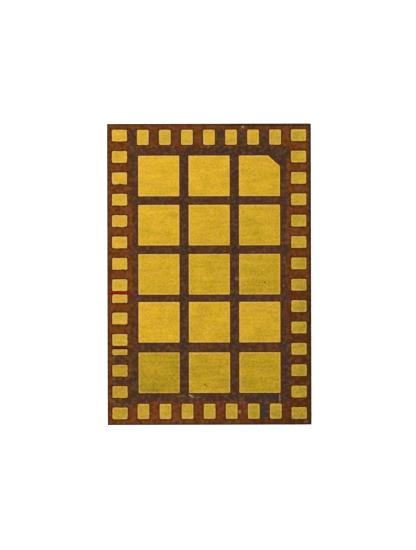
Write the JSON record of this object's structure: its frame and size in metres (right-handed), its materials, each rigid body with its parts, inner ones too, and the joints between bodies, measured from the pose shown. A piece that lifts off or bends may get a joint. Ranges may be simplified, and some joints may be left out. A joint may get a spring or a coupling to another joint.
{
  "type": "power amplifier chip",
  "caption": "Thin rectangular radio power amplifier module with a land grid array of gold-plated lands on a laminate and a black moulded cap.",
  "frame": {"origin": "middle of the moulded cap's outer face, on the plane that the module lies on", "axes": "+Z out of the land side, +Y along the long edges towards the end with the cut ground land, +X across to the long edge beside that cut corner"},
  "size_m": [0.0048, 0.007, 0.0009],
  "materials": {
    "moulding_compound": "fine matt moulded face, sawn sides",
    "solder_mask": "thin translucent brown film, satin",
    "laminate": "glass and resin laminate, sawn edge",
    "copper": "rolled and plated copper",
    "gold_plating": "grainy matt nickel-gold plating",
    "semiconductor": "polished",
    "die_attach": "silver-filled epoxy",
    "bond_gold": "drawn gold wire",
    "capacitor_ceramic": "fired ceramic",
    "inductor_ceramic": "fired ceramic",
    "tin": "tin plating and solder"
  },
  "bodies": {
    "root": {"mould_cap": "moulding_compound", "component_mask": "solder_mask", "land_mask": "solder_mask", "die_flags": "copper", "bond_fingers": "copper", "chip_land_pads": "copper", "power_plane": "copper", "ground_plane": "copper", "heat_vias": "copper", "signal_vias": "copper", "chip_vias": "copper", "ground_pour": "copper", "edge_pads": "copper", "component_prepreg": "laminate", "laminate_core": "laminate", "land_prepreg": "laminate", "left_lands": "gold_plating", "right_lands": "gold_plating", "top_lands": "gold_plating", "bottom_lands": "gold_plating", "low_band_die": "semiconductor", "mid_band_die": "semiconductor", "high_band_die": "semiconductor", "controller_die": "semiconductor", "antenna_switch_die": "semiconductor", "die_attach": "die_attach", "low_band_wires": "bond_gold", "mid_band_wires": "bond_gold", "high_band_wires": "bond_gold", "controller_wires": "bond_gold", "antenna_switch_wires": "bond_gold", "capacitor_bodies": "capacitor_ceramic", "inductor_bodies": "inductor_ceramic", "capacitor_terminals": "tin", "inductor_terminals": "tin", "chip_solder": "tin", "ground_land_1_1": "gold_plating", "ground_land_1_2": "gold_plating", "ground_land_1_3": "gold_plating", "ground_land_2_1": "gold_plating", "ground_land_2_2": "gold_plating", "ground_land_2_3": "gold_plating", "ground_land_3_1": "gold_plating", "ground_land_3_2": "gold_plating", "ground_land_3_3": "gold_plating", "ground_land_4_1": "gold_plating", "ground_land_4_2": "gold_plating", "ground_land_4_3": "gold_plating", "ground_land_5_1": "gold_plating", "ground_land_5_2": "gold_plating", "ground_land_5_3": "gold_plating"}
  },
  "joints": []
}
